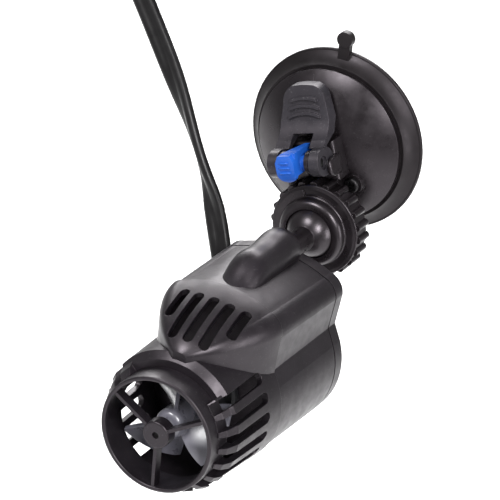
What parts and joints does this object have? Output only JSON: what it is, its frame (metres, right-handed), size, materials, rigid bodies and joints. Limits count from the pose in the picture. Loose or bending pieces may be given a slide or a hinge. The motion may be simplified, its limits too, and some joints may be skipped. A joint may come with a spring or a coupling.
{
  "type": "wave maker pump",
  "caption": "Aquarium wave maker pump: slotted propeller cage and motor housing on a ball joint and a lever-locked suction cup, with a twin-lead cord and plug.",
  "frame": {"origin": "centre of the suction cup's sealing face, on the glass", "axes": "+Y into the glass, square to the sealing face; +Z the pump's own up; +X to the right seen from the pump's front"},
  "size_m": [0.1375, 0.1175, 0.2174],
  "materials": {
    "cup_rubber": "black silicone rubber with a soft sheen",
    "mount_plastic": "black moulded plastic, satin",
    "screw_steel": "stainless steel",
    "screw_black": "black-coated steel screw",
    "pin_steel": "stainless steel pin",
    "lever_plastic": "black moulded plastic, satin",
    "latch_plastic": "bright blue moulded plastic",
    "seat_plastic": "low-friction white plastic",
    "pump_plastic": "charcoal black moulded plastic, fine satin grain",
    "seal_rubber": "black sealing rubber",
    "well_plastic": "dark grey moulded plastic",
    "core_steel": "laminated electrical steel",
    "winding": "enamelled copper winding",
    "magnet": "dark ferrite magnet",
    "propeller_plastic": "black glossy moulded plastic",
    "shaft_ceramic": "polished white ceramic",
    "gland_rubber": "black moulded rubber",
    "cord_jacket": "black flexible cord jacket",
    "tie_plastic": "black plastic tie",
    "plug_plastic": "black moulded plug",
    "pin_nickel": "nickel-plated brass"
  },
  "bodies": {
    "root": {"suction_cup": "cup_rubber", "dome_cover": "mount_plastic", "bracket": "mount_plastic", "bracket_screws": "screw_black", "cup_post": "mount_plastic", "lever_pin": "pin_steel"},
    "lever": {"lever": "lever_plastic"},
    "latch": {"latch": "latch_plastic"},
    "collar": {"collar_nut": "mount_plastic"},
    "seat": {"ball_seat": "seat_plastic"},
    "stem": {"ball_stem": "mount_plastic"},
    "pump": {"outlet_ring": "pump_plastic", "front_cage": "pump_plastic", "intake_hood": "pump_plastic", "main_housing": "pump_plastic", "back_cap": "pump_plastic", "cap_gasket": "seal_rubber", "cap_screws": "screw_steel", "rotor_well": "well_plastic", "well_o_ring": "seal_rubber", "stator_core": "core_steel", "coil": "winding", "ceramic_shaft": "shaft_ceramic", "front_bush": "seal_rubber", "rear_bush": "seal_rubber", "cord_gland": "gland_rubber", "cord_run": "cord_jacket", "cord_coil": "cord_jacket", "cord_tie": "tie_plastic", "plug_body": "plug_plastic", "plug_pins": "pin_nickel"},
    "rotor": {"propeller": "propeller_plastic", "rotor_sleeve": "seat_plastic", "rotor_magnet": "magnet"}
  },
  "joints": [
    {"name": "lever_flip", "type": "hinge", "parent": "root", "child": "lever", "pos_m": [-0.00011, -0.0265, 0.00028], "axis": [0.9373, 0, 0.3486], "range_deg": [0, 90]},
    {"name": "latch_press", "type": "hinge", "parent": "lever", "child": "latch", "pos_m": [-0.00011, -0.0265, 0.00028], "axis": [0.9373, 0, 0.3486], "range_deg": [0, 5], "stiffness_Nm_per_rad": 0.03, "springref_deg": -2.86},
    {"name": "collar_turn", "type": "hinge", "parent": "root", "child": "collar", "pos_m": [0.00781, -0.0245, -0.02099], "axis": [0, 1, 0], "range_deg": [0, 180]},
    {"name": "ball_pan", "type": "hinge", "parent": "root", "child": "seat", "pos_m": [0.00781, -0.0245, -0.02099], "axis": [0, 0, 1], "range_deg": [-20, 20]},
    {"name": "ball_tilt", "type": "hinge", "parent": "seat", "child": "stem", "pos_m": [0.00781, -0.0245, -0.02099], "axis": [1, 0, 0], "range_deg": [-15, 20]},
    {"name": "pump_roll", "type": "hinge", "parent": "stem", "child": "pump", "pos_m": [0.00781, -0.0245, -0.02099], "axis": [0, 1, 0], "range_deg": [-25, 25]},
    {"name": "rotor_spin", "type": "hinge", "parent": "pump", "child": "rotor", "pos_m": [0.00781, -0.1, -0.0544], "axis": [0, 1, 0], "continuous": true}
  ]
}
